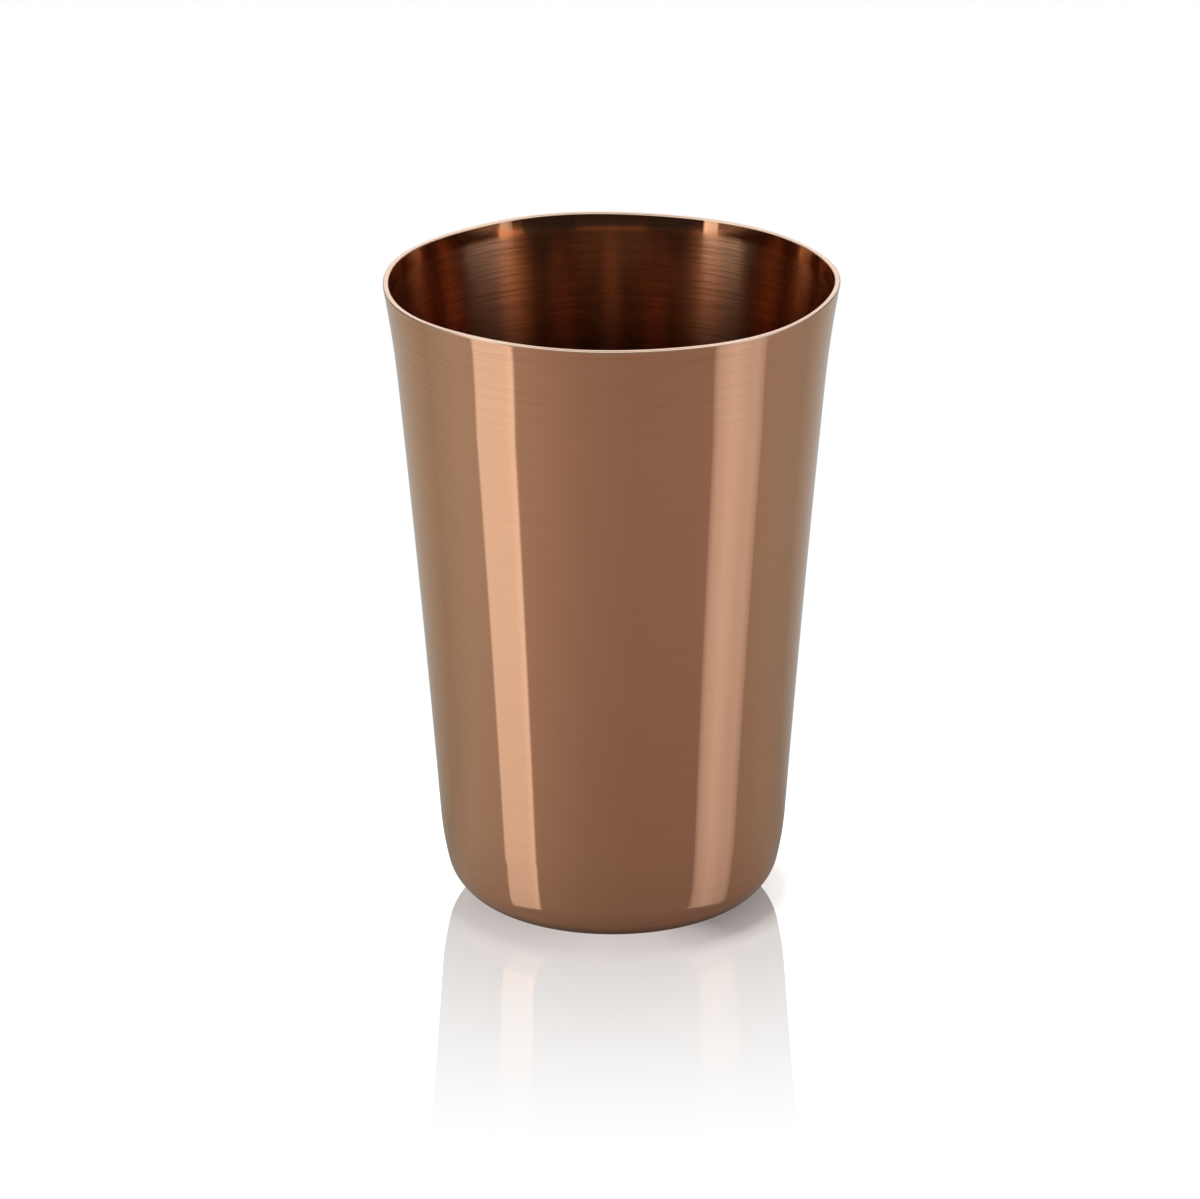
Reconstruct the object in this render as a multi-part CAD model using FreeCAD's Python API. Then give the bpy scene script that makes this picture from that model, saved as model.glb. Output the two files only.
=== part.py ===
"""Double-walled copper tumbler: a tapered cup with a round bottom corner and a gently flared top.

Millimetres, +Z up. The origin is the centre of the face that the cup stands on, and +Z is its axis.
Every piece is turned about that axis. Only the lip's top edge is slightly uneven, as a hand-trimmed edge is.
"""
import FreeCAD
import Part

import math
import os

# Whole cup
HEIGHT = 125.0                  # mean height of the lip
SHEET = 0.5                     # thickness of both walls
TRIM = 1.0                      # spare height above the lip, trimmed off

# Outer wall, from the base up. A heading is an outline's direction in degrees: 0 is outwards, 90 is up.
FOOT_RADIUS = 22.6              # outer edge of the flat ring that the cup stands on
FOOT_WIDTH = 6.0                # width of that ring
DIMPLE_RISE = 1.0               # the middle of the base is drawn up, so that the cup doesn't rock
DIMPLE_BEND = 4.0               # radius of both bends between the ring and the raised middle
CORNER_RADIUS = 9.9
CORNER_HEADING = 77.0
SHOULDER_RADIUS = 62.0          # a longer bend that eases the corner into the wall
WALL_LOW_HEADING = 85.9
WALL_RADIUS = 4200.0            # the wall is all but straight
WALL_HIGH_HEADING = 84.7
FLARE_RADIUS = 225.0
LIP_HEADING = 80.4              # the flare ends in a short cone, which runs up to the lip

# Inner liner, from the floor up
LINER_FLOOR = 7.0               # height of the floor's upper face
LINER_CORNER_RADIUS = 14.0
LINER_WALL_HEADING = 84.9
LINER_FLARE_HEIGHT = 100.0      # the walls draw together from here to the lip
LINER_FLARE_RADIUS = 230.0
LINER_LIP_HEADING = 79.25

# Lip
LIP_THICKNESS = 1.1
LIP_DEPTH = 2.5                 # from the sheets' upper ends to the mean height of the lip
LIP_ROUNDING = 0.35
LIP_WAVES = ((3, 0.18, 8.0), (4, 0.11, -12.0), (6, 0.13, -12.0))    # lobes, height, angle of a crest
WAVE_GRID = 25                  # points along each side of the surface that trims the lip

# Vent in the middle of the base, closed by a plug once the two walls are joined
VENT_RADIUS = 2.0
PLUG_RECESS = 0.1               # the plug's lower face sits this far inside the base
PLUG_HEAD_RADIUS = 3.5
PLUG_HEAD_HEIGHT = 0.8

# Worked out from the above
SEAT_HEIGHT = HEIGHT - LIP_DEPTH
DIMPLE_SLOPE = math.degrees(math.acos(1 - DIMPLE_RISE / (2 * DIMPLE_BEND)))
DIMPLE_RADIUS = FOOT_RADIUS - FOOT_WIDTH - 2 * DIMPLE_BEND * math.sin(math.radians(DIMPLE_SLOPE))

AXIS = FreeCAD.Vector(0, 0, 1)
ON_AXIS = FreeCAD.Vector(0, 0, 0)


def at(r, z):
    return FreeCAD.Vector(r, 0, z)


class Outline:
    """A chain of straight runs and arcs in the R-Z half plane that meet without a corner.

    With an inset, it is drawn that far to the left of the path that its moves describe.
    """

    def __init__(self, r, z, heading, inset):
        angle = math.radians(heading)
        self.r, self.z = r - inset * math.sin(angle), z + inset * math.cos(angle)
        self.heading, self.inset = heading, inset
        self.start = at(self.r, self.z)
        self.edges = []

    def run(self, length):
        """A straight run along the present heading."""
        angle = math.radians(self.heading)
        start = at(self.r, self.z)
        self.r, self.z = self.r + length * math.cos(angle), self.z + length * math.sin(angle)
        self.edges.append(Part.LineSegment(start, at(self.r, self.z)).toShape())

    def run_to_height(self, z):
        """A straight run that takes the path to a height."""
        angle = math.radians(self.heading)
        self.run((z + self.inset * math.cos(angle) - self.z) / math.sin(angle))

    def turn(self, radius, heading):
        """An arc to a new heading: to the left if its radius is positive, to the right if negative."""
        radius -= self.inset
        first, last = math.radians(self.heading), math.radians(heading)
        centre_r, centre_z = self.r - radius * math.sin(first), self.z + radius * math.cos(first)
        arc = [at(centre_r + radius * math.sin(angle), centre_z - radius * math.cos(angle))
               for angle in (first, (first + last) / 2, last)]
        self.r, self.z, self.heading = arc[-1].x, arc[-1].z, heading
        self.edges.append(Part.Arc(*arc).toShape())

    def radius_at(self, z):
        """Radius at a height in the last straight run."""
        return self.r + (z - self.z) / math.tan(math.radians(self.heading))

    def turned(self):
        """The solid between the outline and the axis, with flat ends."""
        corners = [at(self.r, self.z), at(0, self.z), at(0, self.start.z), self.start]
        closing = Part.makePolygon(corners).Edges
        face = Part.Face(Part.Wire(self.edges + closing))
        return face.revolve(ON_AXIS, AXIS, 360)


def outer_outline(inset=0.0):
    """The cup's outside, from the edge of the raised middle of the base to above the lip."""
    path = Outline(DIMPLE_RADIUS, DIMPLE_RISE, 0, inset)
    path.turn(-DIMPLE_BEND, -DIMPLE_SLOPE)
    path.turn(DIMPLE_BEND, 0)
    path.run(FOOT_WIDTH)
    path.turn(CORNER_RADIUS, CORNER_HEADING)
    path.turn(SHOULDER_RADIUS, WALL_LOW_HEADING)
    path.turn(-WALL_RADIUS, WALL_HIGH_HEADING)
    path.turn(-FLARE_RADIUS, LIP_HEADING)
    path.run_to_height(HEIGHT + TRIM)
    return path


def liner_outline(floor_radius, inset=0.0):
    """The cup's inside, from the edge of the flat floor to above the lip."""
    path = Outline(floor_radius, LINER_FLOOR, 0, inset)
    path.turn(LINER_CORNER_RADIUS, LINER_WALL_HEADING)
    path.run_to_height(LINER_FLARE_HEIGHT)
    path.turn(-LINER_FLARE_RADIUS, LINER_LIP_HEADING)
    path.run_to_height(HEIGHT + TRIM)
    return path


def slab(low, high):
    """Everything between two heights."""
    reach = 2 * HEIGHT
    return Part.makeCylinder(reach, high - low, at(0, low))


def lip_height(x, y):
    """Height of the lip's top edge above a point, a sum of slow waves round the rim."""
    share = math.hypot(x, y) / lip_radius
    angle = math.degrees(math.atan2(y, x))
    waves = (height * share ** lobes * math.cos(math.radians(lobes * (angle - crest)))
             for lobes, height, crest in LIP_WAVES)
    return HEIGHT + sum(waves)


def below_lip():
    """Everything under the wavy surface that trims the lip."""
    reach = 1.05 * lip_radius
    places = [reach * (2 * i / (WAVE_GRID - 1) - 1) for i in range(WAVE_GRID)]
    surface = Part.BSplineSurface()
    surface.interpolate([[FreeCAD.Vector(x, y, lip_height(x, y)) for y in places] for x in places])
    return surface.toShape().extrude(FreeCAD.Vector(0, 0, -2 * LIP_DEPTH))


def outer_shell():
    """The outer wall and the base, drawn from one sheet."""
    sheet = outer_outline().turned().cut(outer_outline(SHEET).turned())
    vent = Part.makeCylinder(VENT_RADIUS, HEIGHT / 2)
    return sheet.common(slab(0, SEAT_HEIGHT)).cut(vent)


def inner_liner():
    """The wall and floor that hold the drink, drawn from one sheet."""
    inside = liner_outline(liner_floor_radius).turned()
    sheet = liner_outline(liner_floor_radius, -SHEET).turned().cut(inside)
    return sheet.common(slab(0, SEAT_HEIGHT))


def rim_ring():
    """The weld that joins the two walls, ground to a lip with rounded edges."""
    wall = outer_outline().turned().cut(liner_outline(liner_floor_radius).turned())
    ring = wall.common(slab(SEAT_HEIGHT, HEIGHT + TRIM)).common(below_lip())
    top_edges = [edge for edge in ring.Edges if edge.BoundBox.ZMin > SEAT_HEIGHT + LIP_DEPTH / 2]
    return ring.makeFillet(LIP_ROUNDING, top_edges)


def vent_plug():
    """A headed plug, pressed in so that its head rests on the inside of the base."""
    lower, upper = DIMPLE_RISE + PLUG_RECESS, DIMPLE_RISE + SHEET
    shank = Part.makeCylinder(VENT_RADIUS, upper - lower, at(0, lower))
    head = Part.makeCylinder(PLUG_HEAD_RADIUS, PLUG_HEAD_HEIGHT, at(0, upper))
    return shank.fuse(head).removeSplitter()


lip_radius = outer_outline().radius_at(HEIGHT)
liner_floor_radius = lip_radius - LIP_THICKNESS - liner_outline(0).radius_at(HEIGHT)

os.makedirs("parts", exist_ok=True)
for piece in (outer_shell, inner_liner, rim_ring, vent_plug):
    piece().exportStep("parts/" + piece.__name__ + ".step")
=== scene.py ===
"""Looks of the double-walled copper tumbler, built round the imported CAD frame. Metres, +Z up.

The camera sees the cup on a white floor. The copper is a mirror, and sees a studio of its own that is hidden
from the camera: a warm grey table, two tall softboxes and a few small cards.
"""
import math

import bpy
import numpy as np
from mathutils import Matrix, Vector


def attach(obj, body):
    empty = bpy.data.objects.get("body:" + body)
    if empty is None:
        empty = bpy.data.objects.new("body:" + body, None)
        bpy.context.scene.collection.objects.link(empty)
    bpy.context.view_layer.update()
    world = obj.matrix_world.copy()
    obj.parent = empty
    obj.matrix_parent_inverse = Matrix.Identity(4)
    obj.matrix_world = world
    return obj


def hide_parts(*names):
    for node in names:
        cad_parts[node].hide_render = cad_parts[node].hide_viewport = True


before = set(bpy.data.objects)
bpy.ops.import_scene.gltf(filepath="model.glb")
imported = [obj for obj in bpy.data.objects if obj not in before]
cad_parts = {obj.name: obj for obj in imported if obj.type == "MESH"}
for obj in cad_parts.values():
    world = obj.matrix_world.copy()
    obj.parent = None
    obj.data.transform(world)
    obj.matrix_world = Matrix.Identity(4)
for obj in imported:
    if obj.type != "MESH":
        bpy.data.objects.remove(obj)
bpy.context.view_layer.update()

# Both walls' outlines, from the base up. A heading is in degrees: 0 is outwards, 90 is up.
HEIGHT = 0.125                  # mean height of the lip
SHEET = 0.0005                  # thickness of both walls
SEAT_HEIGHT = 0.1225            # where both walls end and the lip begins
VENT_RADIUS = 0.002
FOOT_RADIUS = 0.0226
FOOT_WIDTH = 0.006
DIMPLE_RISE = 0.001
DIMPLE_BEND = 0.004
CORNER_RADIUS = 0.0099
CORNER_HEADING = 77.0
SHOULDER_RADIUS = 0.062
WALL_LOW_HEADING = 85.9
WALL_RADIUS = 4.2
WALL_HIGH_HEADING = 84.7
FLARE_RADIUS = 0.225
LIP_HEADING = 80.4
LINER_FLOOR = 0.007
LINER_CORNER_RADIUS = 0.014
LINER_WALL_HEADING = 84.9
LINER_FLARE_HEIGHT = 0.1
LINER_FLARE_RADIUS = 0.23
LINER_LIP_HEADING = 79.25
LIP_THICKNESS = 0.0011
LIP_ROUNDING = 0.00035
LIP_WAVES = ((3, 0.00018, 8.0), (4, 0.00011, -12.0), (6, 0.00013, -12.0))   # lobes, height, crest's angle

SEGMENTS = 384                  # faces round the cup
FINE, COARSE = 1.0, 4.0         # degrees between points on arcs that show, and on hidden ones
CURVE_STEPS = 24                # points along a long gentle curve that shows
HIDDEN_CURVE_STEPS = 8          # points along a hidden one
RIM_STEPS = 12                  # faces across each rounded edge of the lip
RIM_SUPPORT = 0.00006           # width of the narrow face next to each rounded edge
SHARP = 30                      # degrees between two faces from which their edge looks sharp


class Outline:
    """Points along straight runs and arcs that meet without a corner, in the R-Z half plane.

    With an inset, they lie that far to the left of the path that the moves describe.
    """

    def __init__(self, r, z, inset=0.0, step=FINE):
        self.heading, self.inset, self.step = 0.0, inset, step
        self.points = [(r, z + inset)]

    def run(self, length, steps=1):
        angle = math.radians(self.heading)
        r, z = self.points[-1]
        for share in np.linspace(0, length, steps + 1)[1:]:
            self.points.append((r + share * math.cos(angle), z + share * math.sin(angle)))

    def run_to_height(self, z, steps=1):
        self.run((z - self.points[-1][1]) / math.sin(math.radians(self.heading)), steps)

    def turn(self, radius, heading, least_steps=2):
        """An arc to a new heading: to the left if its radius is positive, to the right if negative."""
        radius -= self.inset
        steps = max(least_steps, math.ceil(abs(heading - self.heading) / self.step))
        angles = np.radians(np.linspace(self.heading, heading, steps + 1))
        r, z = self.points[-1]
        centre_r, centre_z = r - radius * math.sin(angles[0]), z + radius * math.cos(angles[0])
        for angle in angles[1:]:
            self.points.append((centre_r + radius * math.sin(angle), centre_z - radius * math.cos(angle)))
        self.heading = heading

    def radius_at(self, z):
        """Radius at a height on the straight line that the outline ends in."""
        r, last_z = self.points[-1]
        return r + (z - last_z) / math.tan(math.radians(self.heading))


def outer_outline(inset=0.0, step=FINE, curve_steps=CURVE_STEPS):
    """The outside, from the vent in the base to the height where the lip begins."""
    slope = math.degrees(math.acos(1 - DIMPLE_RISE / (2 * DIMPLE_BEND)))
    dimple_radius = FOOT_RADIUS - FOOT_WIDTH - 2 * DIMPLE_BEND * math.sin(math.radians(slope))
    path = Outline(VENT_RADIUS, DIMPLE_RISE, inset, step)
    path.run(dimple_radius - VENT_RADIUS)
    path.turn(-DIMPLE_BEND, -slope)
    path.turn(DIMPLE_BEND, 0)
    path.run(FOOT_WIDTH)
    path.turn(CORNER_RADIUS, CORNER_HEADING)
    path.turn(SHOULDER_RADIUS, WALL_LOW_HEADING)
    path.turn(-WALL_RADIUS, WALL_HIGH_HEADING, curve_steps)
    path.turn(-FLARE_RADIUS, LIP_HEADING, curve_steps)
    path.run_to_height(SEAT_HEIGHT)
    return path


def liner_outline(floor_radius, inset=0.0, step=FINE, curve_steps=CURVE_STEPS):
    """The inside, from the middle of the floor to the height where the lip begins."""
    path = Outline(0, LINER_FLOOR, inset, step)
    path.run(floor_radius)
    path.turn(LINER_CORNER_RADIUS, LINER_WALL_HEADING)
    path.run_to_height(LINER_FLARE_HEIGHT, curve_steps)
    path.turn(-LINER_FLARE_RADIUS, LINER_LIP_HEADING, curve_steps)
    path.run_to_height(SEAT_HEIGHT)
    return path


def lip_outline(outer_radius, inner_radius):
    """The lip's section, and how much each of its points follows the waves of the top edge."""
    outer_slope, inner_slope = math.radians(LIP_HEADING), math.radians(LINER_LIP_HEADING)
    quarter = math.pi / 2

    def rounded_corner(radius, slope, side):
        """Points round the edge where the top meets a wall; side is 1 outside and -1 inside."""
        half = slope / 2 if side > 0 else quarter - slope / 2
        centre_r, centre_z = radius - side * LIP_ROUNDING / math.tan(half), HEIGHT - LIP_ROUNDING
        first, last = (slope - quarter, quarter) if side > 0 else (quarter, quarter + slope)
        return [(centre_r + LIP_ROUNDING * math.cos(angle), centre_z + LIP_ROUNDING * math.sin(angle))
                for angle in np.linspace(first, last, RIM_STEPS + 1)]

    def below(point, slope):
        """A point just down the wall from the rounding, which keeps the wall's shading flat up to there."""
        return point[0] - RIM_SUPPORT * math.cos(slope), point[1] - RIM_SUPPORT * math.sin(slope)

    def at_seat(radius, slope):
        """Where the wall that leads to a radius at the lip's height passes the seat."""
        return radius + (SEAT_HEIGHT - HEIGHT) / math.tan(slope), SEAT_HEIGHT

    outer_corner = rounded_corner(outer_radius, outer_slope, 1)
    inner_corner = rounded_corner(inner_radius, inner_slope, -1)
    points = [at_seat(outer_radius, outer_slope), below(outer_corner[0], outer_slope)]
    points += outer_corner + inner_corner
    points += [below(inner_corner[-1], inner_slope), at_seat(inner_radius, inner_slope)]
    follow = [0.0] + [1.0] * (len(points) - 2) + [0.0]
    return points, follow


def wave_height(angles):
    """Height of the lip's top edge above its mean, at angles from +X."""
    waves = [height * np.cos(lobes * (angles - math.radians(crest))) for lobes, height, crest in LIP_WAVES]
    return np.sum(waves, axis=0)


def turned_piece(name, points, follow=None):
    """A closed solid: the points, turned about Z.

    Both ends lie on the axis, or the last one joins the first. The share given in follow is how much of the
    lip's waves a point takes on.
    """
    on_axis = points[0][0] == 0
    angles = np.arange(SEGMENTS) * 2 * math.pi / SEGMENTS
    lift = wave_height(angles)
    outwards = 1 / math.tan(math.radians((LIP_HEADING + LINER_LIP_HEADING) / 2))
    vertices, rings = [], []
    for index, (r, z) in enumerate(points):
        if r == 0:
            rings.append([len(vertices)] * SEGMENTS)
            vertices.append((0, 0, z))
            continue
        share = follow[index] if follow else 0.0
        radii = r + share * lift * outwards
        rings.append(range(len(vertices), len(vertices) + SEGMENTS))
        vertices += zip(radii * np.cos(angles), radii * np.sin(angles), z + share * lift)
    pairs = list(zip(rings, rings[1:])) + ([] if on_axis else [(rings[-1], rings[0])])
    faces = []
    for low, high in pairs:
        for i in range(SEGMENTS):
            j = (i + 1) % SEGMENTS
            faces.append(list(dict.fromkeys((low[i], low[j], high[j], high[i]))))
    mesh = bpy.data.meshes.new(name)
    mesh.from_pydata(vertices, [], faces)
    mesh.polygons.foreach_set("use_smooth", [True] * len(faces))
    mesh.set_sharp_from_angle(angle=math.radians(SHARP))
    piece = bpy.data.objects.new(name, mesh)
    bpy.context.scene.collection.objects.link(piece)
    return piece


# Materials. Colours are linear red, green and blue, and bumps are heights in metres.

POLISHED = (0.90, 0.52, 0.325)  # the copper of the outside
NOISE_ROUGHNESS = 0.6           # strength of each finer layer of a noise against the one before it
LIP_GRAIN = 400.0               # grains of wear across the width of the lip's ring


def new_material(name):
    material = bpy.data.materials.new(name)
    material.use_nodes = True
    material.node_tree.nodes.clear()
    return material, material.node_tree


def add(tree, kind, inputs=None, **settings):
    """A node, with settings and with values or links for its inputs."""
    node = tree.nodes.new(kind)
    for key, value in settings.items():
        setattr(node, key, value)
    for key, value in (inputs or {}).items():
        if isinstance(value, bpy.types.NodeSocket):
            tree.links.new(value, node.inputs[key])
        else:
            node.inputs[key].default_value = value
    return node


def math_node(tree, operation, *values):
    return add(tree, "ShaderNodeMath", dict(enumerate(values)), operation=operation).outputs[0]


def mix(tree, share, first, second, blend="MIX"):
    """The first colour blended with a share of the second one."""
    return add(tree, "ShaderNodeMix", {0: share, 6: first, 7: second},
               data_type="RGBA", blend_type=blend).outputs[2]


def ramp(tree, value, stops):
    """A colour ramp over (position, grey or colour) stops."""
    node = add(tree, "ShaderNodeValToRGB", {0: value})
    elements = node.color_ramp.elements
    while len(elements) < len(stops):
        elements.new(0.5)
    for element, (position, colour) in zip(elements, stops):
        element.position = position
        element.color = (*colour, 1) if isinstance(colour, tuple) else (colour, colour, colour, 1)
    return node.outputs["Color"]


def place(tree):
    """X, Y and Z of the shaded point in the piece's own frame."""
    position = add(tree, "ShaderNodeTexCoord").outputs["Object"]
    return add(tree, "ShaderNodeSeparateXYZ", {0: position}).outputs


def distance_from_axis(tree, x, y):
    squares = math_node(tree, "ADD", math_node(tree, "MULTIPLY", x, x), math_node(tree, "MULTIPLY", y, y))
    return math_node(tree, "SQRT", squares)


def noise(tree, dimensions, detail, inputs):
    """A grey value about 0.5 that changes over a distance of about 1."""
    return add(tree, "ShaderNodeTexNoise",
               {"Scale": 1.0, "Detail": detail, "Roughness": NOISE_ROUGHNESS, **inputs},
               noise_dimensions=dimensions).outputs[0]


def lines_round(tree, distance, pitch, detail):
    """A grey value of lines round the cup, about a pitch apart along a distance: a height or a radius."""
    return noise(tree, "1D", detail, {"W": math_node(tree, "MULTIPLY", distance, 1 / pitch)})


def streaks_round(tree, x, y, z, length, pitch, detail):
    """A grey value of fine streaks round the cup: their length is in radians, their pitch in metres.

    Height and radius both count across them, so that they run round a level floor as well as round a wall.
    """
    angle = math_node(tree, "ABSOLUTE", math_node(tree, "ARCTAN2", x, y))
    along = math_node(tree, "DIVIDE", angle, length)
    up = math_node(tree, "DIVIDE", math_node(tree, "ADD", z, distance_from_axis(tree, x, y)), pitch)
    vector = add(tree, "ShaderNodeCombineXYZ", {0: along, 1: up}).outputs[0]
    return noise(tree, "2D", detail, {"Vector": vector})


def bump(tree, height, depth):
    """A normal for a surface whose height value of 1 stands a depth above its value of 0."""
    return add(tree, "ShaderNodeBump", {"Height": height, "Strength": 1.0, "Distance": depth}).outputs[0]


def finish_metal(tree, inputs):
    shader = add(tree, "ShaderNodeBsdfPrincipled", {"Metallic": 1.0, **inputs})
    add(tree, "ShaderNodeOutputMaterial", {0: shader.outputs[0]})


def outside_copper():
    """Mirror-polished copper with hair-fine spun lines, stronger under the lip and at the base."""
    material, tree = new_material("outside_copper")
    x, y, z = place(tree)
    near_ends = ramp(tree, math_node(tree, "DIVIDE", z, HEIGHT),
                     ((0.02, 1.0), (0.12, 0.3), (0.8, 0.25), (0.97, 0.9)))
    streaks = streaks_round(tree, x, y, z, length=0.6, pitch=0.0006, detail=4)
    spun = ramp(tree, streaks, ((0.3, (0.83, 0.475, 0.29)), (0.5, POLISHED), (0.7, (0.94, 0.55, 0.35))))
    lines = lines_round(tree, z, pitch=0.00035, detail=3)
    finish_metal(tree, {
        "Base Color": mix(tree, near_ends, (*POLISHED, 1), spun),
        "Roughness": 0.05,
        "Normal": bump(tree, math_node(tree, "MULTIPLY", lines, near_ends), depth=0.000003)})
    return material


def inside_copper():
    """Copper brushed round the wall, polished in a narrow band under the lip, and darkened lower down by a
    painted shade.
    """
    material, tree = new_material("inside_copper")
    x, y, z = place(tree)
    height = math_node(tree, "DIVIDE", z, HEIGHT)
    band_from, band_to = 0.971, 0.979
    below_band = ramp(tree, height, ((band_from, 1.0), (band_to, 0.12)))
    streaks = streaks_round(tree, x, y, z, length=0.35, pitch=0.0004, detail=4)
    brushed = ramp(tree, streaks, ((0.3, (0.60, 0.31, 0.165)), (0.52, (0.87, 0.45, 0.245)),
                                   (0.7, (0.95, 0.51, 0.29))))
    clean = mix(tree, below_band, (0.88, 0.45, 0.24, 1), brushed)
    # Painted shade: the copper's colour darkens deeper down inside the cup.
    painted_depth_shade = ramp(tree, height, ((0.3, 0.4), (0.76, 0.55), (0.84, 0.95), (0.9, 1.0)))
    finish_metal(tree, {
        "Base Color": mix(tree, 1.0, clean, painted_depth_shade, "MULTIPLY"),
        "Roughness": ramp(tree, height, ((band_from, 0.23), (band_to, 0.06))),
        "Anisotropic": 0.95, "Anisotropic Rotation": 0.25,
        "Tangent": add(tree, "ShaderNodeTangent", direction_type="RADIAL", axis="Z").outputs[0],
        "Normal": bump(tree, math_node(tree, "MULTIPLY", streaks, below_band), depth=0.000006)})
    return material


def lip_copper():
    """Paler copper, worn to a fine satin."""
    material, tree = new_material("lip_copper")
    wear = add(tree, "ShaderNodeTexNoise", {"Scale": LIP_GRAIN, "Detail": 3.0}).outputs[0]
    finish_metal(tree, {"Base Color": (0.94, 0.68, 0.52, 1),
                        "Roughness": ramp(tree, wear, ((0.3, 0.24), (0.7, 0.34)))})
    return material


def plug_metal():
    """Satin metal, turned on a lathe."""
    material, tree = new_material("plug_metal")
    x, y, _ = place(tree)
    rings = lines_round(tree, distance_from_axis(tree, x, y), pitch=0.0002, detail=2)
    finish_metal(tree, {"Base Color": (0.6, 0.58, 0.56, 1),
                        "Roughness": ramp(tree, rings, ((0.3, 0.28), (0.7, 0.42))),
                        "Normal": bump(tree, rings, depth=0.000004)})
    return material


# Cup

def finished(piece, slot, *nodes):
    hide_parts(*nodes)
    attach(piece, "root")


def make_cup():
    """The outer wall, the liner and the lip that joins them, with the CAD vent plug in the base.

    Returns the lip, which has lights of its own.
    """
    outside, inside, lip = outside_copper(), inside_copper(), lip_copper()
    outer_radius = outer_outline().radius_at(HEIGHT)
    inner_radius = outer_radius - LIP_THICKNESS
    floor_radius = inner_radius - liner_outline(0).radius_at(HEIGHT)

    visible, hidden = outer_outline(), outer_outline(SHEET, COARSE, HIDDEN_CURVE_STEPS)
    wall = turned_piece("outer_wall", visible.points + hidden.points[::-1])
    wall.data.materials.append(outside)
    finished(wall, "outside_copper", "outer_shell")

    visible = liner_outline(floor_radius)
    hidden = liner_outline(floor_radius, -SHEET, COARSE, HIDDEN_CURVE_STEPS)
    liner = turned_piece("liner", hidden.points + visible.points[::-1])
    liner.data.materials.append(inside)
    finished(liner, "inside_copper", "inner_liner")

    points, follow = lip_outline(outer_radius, inner_radius)
    ring = turned_piece("lip", points, follow)
    for material in (lip, outside, inside):
        ring.data.materials.append(material)
    # Its outer and inner sides look like the walls below them. The last band is its hidden underside.
    lip_index, outside_index, inside_index = range(3)
    bands = [outside_index] * 2 + [lip_index] * (len(points) - 5) + [inside_index] * 2 + [lip_index]
    ring.data.polygons.foreach_set("material_index", np.repeat(bands, SEGMENTS))
    finished(ring, "lip_copper", "rim_ring")

    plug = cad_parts["vent_plug"]
    plug.data.materials.clear()
    plug.data.materials.append(plug_metal())
    return ring


# Studio. The level of a surface is its brightness, and 1 is the white of the picture.

GROUND = 60                     # half the width of the floor and of the table
TABLE_HEIGHT = -0.0005          # just under the floor, which the copper doesn't see
SOFTBOX_FOOT = -0.0004          # just above the table
LEFT_DISTANCE, RIGHT_DISTANCE = 0.32, 0.36      # from the cup's axis to the softboxes
FLAG_DISTANCE, BACK_DISTANCE = 0.12, 1.0        # and to the flags and the back card
FLAG_FOOT, FLAG_TOP = 0.117, 0.134      # the flags are dim, and stand at the height of the lip
SHEET_COLUMNS = 24              # faces across an upright sheet
FLOOR_REACH = 0.12              # the cup's reflection in the floor has faded out at this distance
TABLE_REACH = 0.3               # the table's stops are shares of this distance
MIRRORED_WHITE = 3.5            # level of the studio in the floor's faint mirror
MIRRORED_TABLE = 0.4            # level of the table after two mirrors, such as the floor and the copper
SHADOW = (0.03, 0.012, 0.015, 1)        # the colour that the painted shadow turns the floor to
DARK_STUDIO = (0.02, 0.018, 0.017, 1)   # what the copper sees beyond the lamps and the table
WHITE = (1, 1, 1, 1)


def studio_piece(name, mesh, material, camera=False, glossy=True):
    """A piece of the studio, which casts no shadow."""
    mesh.materials.append(material)
    piece = bpy.data.objects.new(name, mesh)
    bpy.context.scene.collection.objects.link(piece)
    piece.visible_camera, piece.visible_glossy = camera, glossy
    piece.visible_shadow = piece.visible_diffuse = False


def square(name, half, z, material, **seen_by):
    """A flat square, level with the table."""
    corners = [(-half, -half, z), (half, -half, z), (half, half, z), (-half, half, z)]
    mesh = bpy.data.meshes.new(name)
    mesh.from_pydata(corners, [], [(0, 1, 2, 3)])
    studio_piece(name, mesh, material, **seen_by)


def glowing_mirror(material, tree, colour, level, mirror, roughness):
    """Finishes a surface that glows and mirrors at once, and that isn't sampled as a lamp."""
    glow = add(tree, "ShaderNodeEmission", {0: colour, 1: level}).outputs[0]
    gloss = add(tree, "ShaderNodeBsdfAnisotropic", {0: mirror, "Roughness": roughness}).outputs[0]
    both = add(tree, "ShaderNodeAddShader", {0: glow, 1: gloss}).outputs[0]
    add(tree, "ShaderNodeOutputMaterial", {0: both})
    material.cycles.emission_sampling = "NONE"


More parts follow.
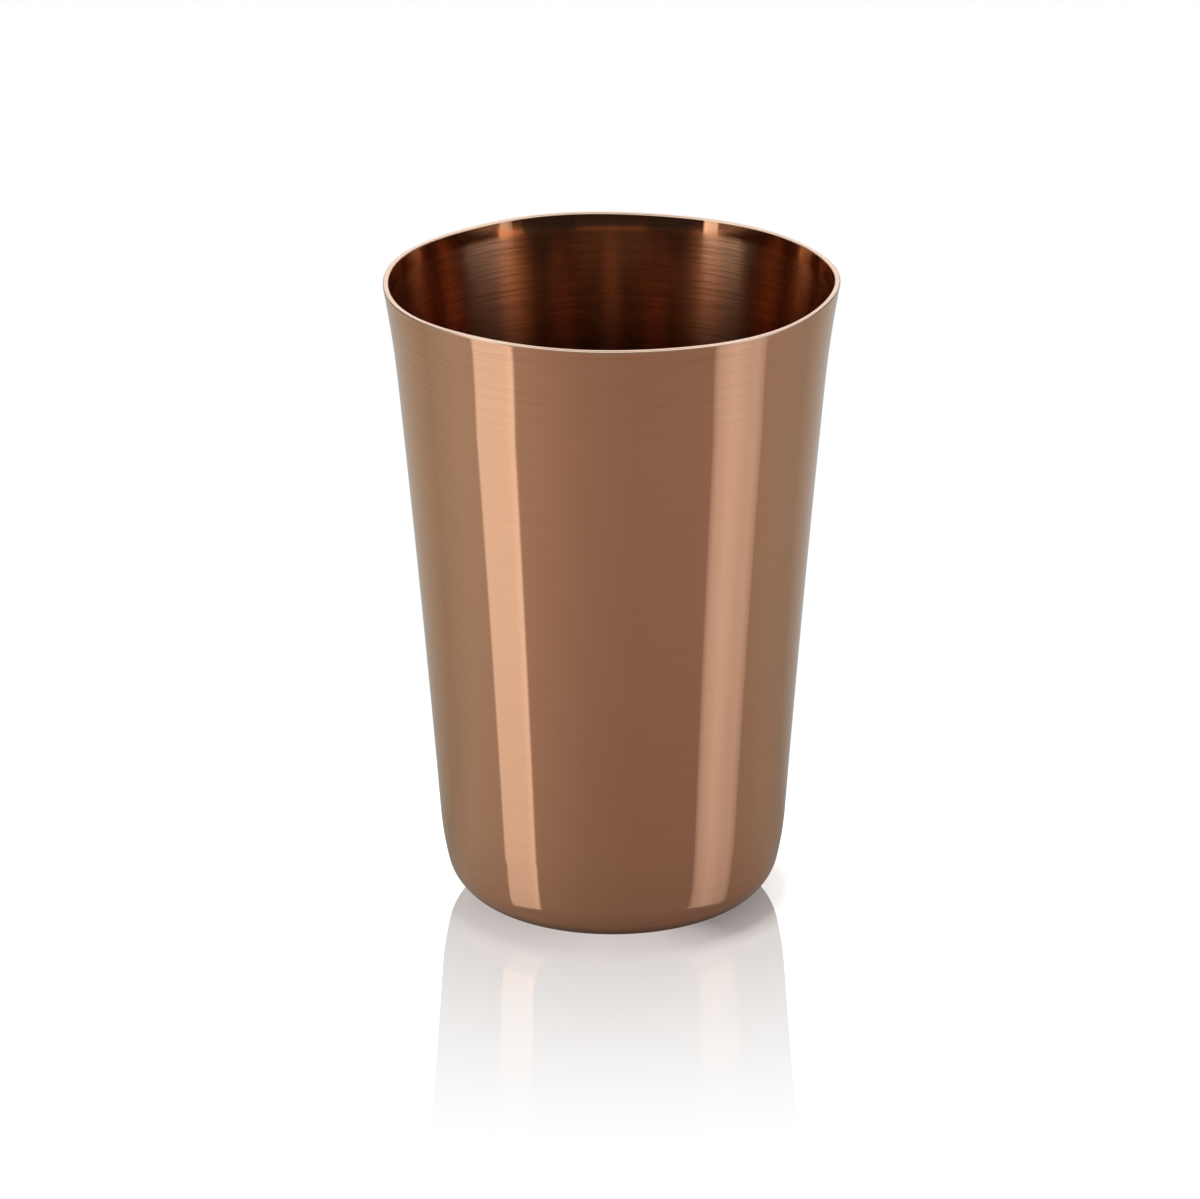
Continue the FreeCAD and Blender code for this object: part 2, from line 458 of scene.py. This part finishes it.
def floor_material():
    """White and glossy: a mirror near the cup, which fades out with distance.

    Its glow is dimmer towards the cup, a painted shade that its mirror lifts back towards white where it
    sees no copper, and its shadow is painted: darkest to the right of the cup.
    """
    material, tree = new_material("floor")
    x, y, _ = place(tree)
    radius = distance_from_axis(tree, x, y)
    far = math_node(tree, "DIVIDE", radius, FLOOR_REACH)
    # Painted shade: how far the floor's glow falls below white, deepest next to the cup and slightly warm.
    grey = ramp(tree, far, ((0.22, 0.39), (0.31, 0.33), (0.47, 0.24), (0.66, 0.13), (0.86, 0.044),
                            (1.0, 0.0)))
    mirror = ramp(tree, far, ((0.22, 0.16), (0.42, 0.16), (0.58, 0.105), (0.76, 0.04), (1.0, 0.0)))
    tinted = mix(tree, 1.0, grey, (0.87, 1.0, 1.07, 1), "MULTIPLY")
    white = mix(tree, 1.0, WHITE, tinted, "SUBTRACT")
    side = math_node(tree, "MULTIPLY_ADD", math_node(tree, "DIVIDE", x, radius), 0.5, 0.5)
    shade = ramp(tree, side, ((0.0, 0.28), (0.45, 0.06), (0.65, 0.12), (0.78, 0.35), (0.86, 0.62),
                              (1.0, 0.66)))
    reach = ramp(tree, far, ((0.22, 1.0), (0.275, 0.75), (0.292, 0.35), (0.32, 0.0)))
    lit = mix(tree, math_node(tree, "MULTIPLY", shade, reach), white, SHADOW)
    glowing_mirror(material, tree, lit, 1.0, mirror, roughness=0.0)
    return material


def angle_from_camera_side(tree, x, y):
    """Angle round the cup from -Y, as a share: 0.5 in front, 0.75 to the right, 1 and 0 behind."""
    angle = math_node(tree, "ARCTAN2", x, math_node(tree, "MULTIPLY", y, -1.0))
    return math_node(tree, "MULTIPLY_ADD", angle, 0.5 / math.pi, 0.5)


def by_angle(stops):
    """Colour ramp stops from (degrees from the camera's side, colour)."""
    return [(0.5 + degrees / 360, colour) for degrees, colour in stops]


def table_material():
    """What the copper sees of the table, which glows: warm grey in front, paler at the sides and behind.

    Close to the cup its glow is darkened by a painted shade, under which its mirror fades out; further out
    it is a blurred mirror.
    """
    material, tree = new_material("table")
    x, y, _ = place(tree)
    colour = ramp(tree, angle_from_camera_side(tree, x, y), by_angle((
        (-180, (0.50, 0.52, 0.53)), (-140, (0.40, 0.41, 0.38)), (-110, (0.33, 0.31, 0.27)),
        (-85, (0.40, 0.38, 0.35)), (-47, (0.37, 0.31, 0.28)), (-13, (0.285, 0.23, 0.205)),
        (10, (0.265, 0.205, 0.185)), (45, (0.27, 0.21, 0.19)), (95, (0.33, 0.30, 0.275)),
        (120, (0.30, 0.285, 0.26)), (150, (0.43, 0.45, 0.45)), (180, (0.50, 0.52, 0.53)))))
    far = math_node(tree, "DIVIDE", distance_from_axis(tree, x, y), TABLE_REACH)
    # Painted shade: the table's glow darkens towards the cup, deepest where it meets the base.
    near = ramp(tree, far, ((0.09, 0.3), (0.1, 0.6), (0.122, 0.72), (0.15, 0.78), (0.24, 0.86), (0.5, 0.94),
                            (0.75, 1.0)))
    # The mirror fades out under the painted shade next to the cup.
    mirror = ramp(tree, far, ((0.11, 0.01), (0.122, 0.34), (0.15, 0.40), (0.24, 0.45), (0.5, 0.5)))
    glossy_depth = add(tree, "ShaderNodeLightPath").outputs["Glossy Depth"]
    twice_mirrored = math_node(tree, "GREATER_THAN", glossy_depth, 1.5)
    dimming = math_node(tree, "MULTIPLY", twice_mirrored, 1 - MIRRORED_TABLE)
    level = math_node(tree, "SUBTRACT", 1.0, dimming)
    glowing_mirror(material, tree, mix(tree, 1.0, colour, near, "MULTIPLY"), level, mirror, roughness=0.04)
    return material


def in_floor(tree, level):
    """A lamp's level, which the floor's mirror sees as bright as the rest of the white studio."""
    mirrored = add(tree, "ShaderNodeLightPath").outputs["Is Singular Ray"]
    return add(tree, "ShaderNodeMix", {0: mirrored, 2: level, 3: MIRRORED_WHITE},
               data_type="FLOAT").outputs[0]


def lamp_material(name, colour, level, profile=None):
    """An even glow, or one whose level follows a profile of (share of the lamp's width, level) stops."""
    material, tree = new_material(name)
    if profile:
        across = add(tree, "ShaderNodeAttribute", attribute_name="across").outputs["Fac"]
        level = ramp(tree, across, [(share, level * height) for share, height in profile])
    glow = add(tree, "ShaderNodeEmission", {0: (*colour, 1), 1: in_floor(tree, level)}).outputs[0]
    add(tree, "ShaderNodeOutputMaterial", {0: glow})
    return material


def upright(name, material, distance, *rows):
    """An upright sheet bent round the cup, through rows of (height, first angle, last angle).

    Angles are in degrees from the camera's side of the cup, right positive.
    """
    shares = np.linspace(0, 1, SHEET_COLUMNS + 1)
    vertices, faces = [], []
    for z, first, last in rows:
        for angle in np.radians(first + shares * (last - first)):
            vertices.append((distance * math.sin(angle), -distance * math.cos(angle), z))
    for row in range(len(rows) - 1):
        for column in range(SHEET_COLUMNS):
            corner = row * len(shares) + column
            faces.append((corner, corner + 1, corner + 1 + len(shares), corner + len(shares)))
    mesh = bpy.data.meshes.new(name)
    mesh.from_pydata(vertices, [], faces)
    mesh.attributes.new("across", "FLOAT", "POINT").data.foreach_set("value", np.tile(shares, len(rows)))
    studio_piece(name, mesh, material)


def make_world():
    """White for the camera and in the floor's mirror; for the copper, a dark studio."""
    world = bpy.data.worlds.new("studio")
    world.use_nodes = True
    tree = world.node_tree
    tree.nodes.clear()
    ray = add(tree, "ShaderNodeLightPath").outputs
    mirrored = (MIRRORED_WHITE, MIRRORED_WHITE, MIRRORED_WHITE, 1)
    reflected = mix(tree, ray["Is Singular Ray"], DARK_STUDIO, mirrored)
    colour = mix(tree, ray["Is Camera Ray"], reflected, WHITE)
    background = add(tree, "ShaderNodeBackground", {0: colour}).outputs[0]
    add(tree, "ShaderNodeOutputWorld", {0: background})
    bpy.context.scene.world = world


def lip_light(name, receivers, location, size, level):
    """A rectangular light that faces the cup's lip and lights nothing else."""
    width, height = size
    data = bpy.data.lights.new(name, "AREA")
    data.shape = "RECTANGLE"
    data.size, data.size_y = width, height
    data.energy = level * math.pi * width * height
    light = bpy.data.objects.new(name, data)
    light.location = location
    towards_lip = Vector((0, 0, HEIGHT)) - Vector(location)
    light.rotation_euler = towards_lip.to_track_quat("-Z", "Y").to_euler()
    light.visible_camera = False
    light.light_linking.receiver_collection = receivers
    bpy.context.scene.collection.objects.link(light)


def make_lip_lights(ring):
    """A tent of soft lights that keeps the lip bright from every side while the cup's inside stays dark.

    Only the back one stands low: from the other sides, a low light shows in the lip's inner band.
    """
    receivers = bpy.data.collections.new("lit_lip")
    receivers.objects.link(ring)
    lip_light("lip_light_top", receivers, (0, 0, 1.3), (1.8, 1.8), 1.0)
    lip_light("lip_light_back", receivers, (0, 1.2, 0.65), (1.8, 0.9), 0.9)
    for name, x, y in (("front", 0, -0.9), ("left", -0.9, 0), ("right", 0.9, 0)):
        lip_light("lip_light_" + name, receivers, (x, y, 1.0), (1.6, 0.7), 0.9)


def make_studio(ring):
    """The floor that the camera sees, the table and lamps that the copper sees, and the lip's own lights."""
    make_world()
    make_lip_lights(ring)
    bpy.context.scene.view_settings.view_transform = "Standard"
    square("floor", half=GROUND, z=0, material=floor_material(), camera=True, glossy=False)
    square("table", half=GROUND, z=TABLE_HEIGHT, material=table_material())

    # Higher up, the softboxes reach further round to the back, which keeps their reflections straight where
    # the wall turns in to the base.
    left = lamp_material("left_light", (0.95, 1.0, 1.04), 1.05,
                         ((0.0, 0.3), (0.04, 0.9), (0.78, 0.95), (0.95, 1.15), (1.0, 0.3)))
    upright("softbox_left", left, LEFT_DISTANCE,
            (SOFTBOX_FOOT, -76, -51.5), (0.165, -76, -51.5), (0.24, -82.5, -55), (0.36, -94, -62))
    right = lamp_material("right_light", (0.95, 1.0, 1.08), 0.8,
                          ((0.0, 0.3), (0.1, 0.75), (0.34, 1.0), (0.47, 0.95), (0.66, 0.75), (0.85, 0.7),
                           (1.0, 0.3)))
    upright("softbox_right", right, RIGHT_DISTANCE,
            (SOFTBOX_FOOT, 55, 87), (0.18, 55, 87), (0.26, 58.5, 93), (0.4, 63, 108))

    flag = lamp_material("flag", (1.0, 0.8, 0.75), 0.12)
    upright("flag_left", flag, FLAG_DISTANCE, (FLAG_FOOT, -95, -66), (FLAG_TOP, -95, -66))
    upright("flag_right", flag, FLAG_DISTANCE, (FLAG_FOOT, 69, 98), (FLAG_TOP, 69, 98))
    back = lamp_material("back_light", (1, 0.97, 0.93), 1.3)
    upright("back_card", back, BACK_DISTANCE, (0.4, 174, 186), (0.52, 174, 186))
    top = lamp_material("top_light", (1, 0.97, 0.94), 0.2)
    square("top_card", half=0.3, z=0.9, material=top)


# Camera

LENS, SENSOR = 219.95, 36       # millimetres
CAMERA_RANGE = 200              # metres
CAMERA_PLACE = (0, -1.3304, 0.5557)
PITCH = math.radians(20.437)    # downwards
YAW, ROLL = -0.0018, -0.0038    # radians. The roll stands in for the slight lean of the photographed cup.


def make_camera():
    """Looks down on the cup from in front, through a long lens."""
    data = bpy.data.cameras.new("camera")
    data.lens, data.sensor_width, data.clip_end = LENS, SENSOR, CAMERA_RANGE
    forward = Vector((math.sin(YAW) * math.cos(PITCH), math.cos(YAW) * math.cos(PITCH), -math.sin(PITCH)))
    level = Vector((math.cos(YAW), -math.sin(YAW), 0))
    steep = level.cross(forward)
    right = math.cos(ROLL) * level + math.sin(ROLL) * steep
    up = math.cos(ROLL) * steep - math.sin(ROLL) * level
    camera = bpy.data.objects.new("camera", data)
    turn = Matrix((right, up, -forward)).transposed().to_4x4()
    camera.matrix_world = Matrix.Translation(CAMERA_PLACE) @ turn
    bpy.context.scene.collection.objects.link(camera)
    bpy.context.scene.camera = camera


make_camera()
lip_ring = make_cup()
make_studio(lip_ring)
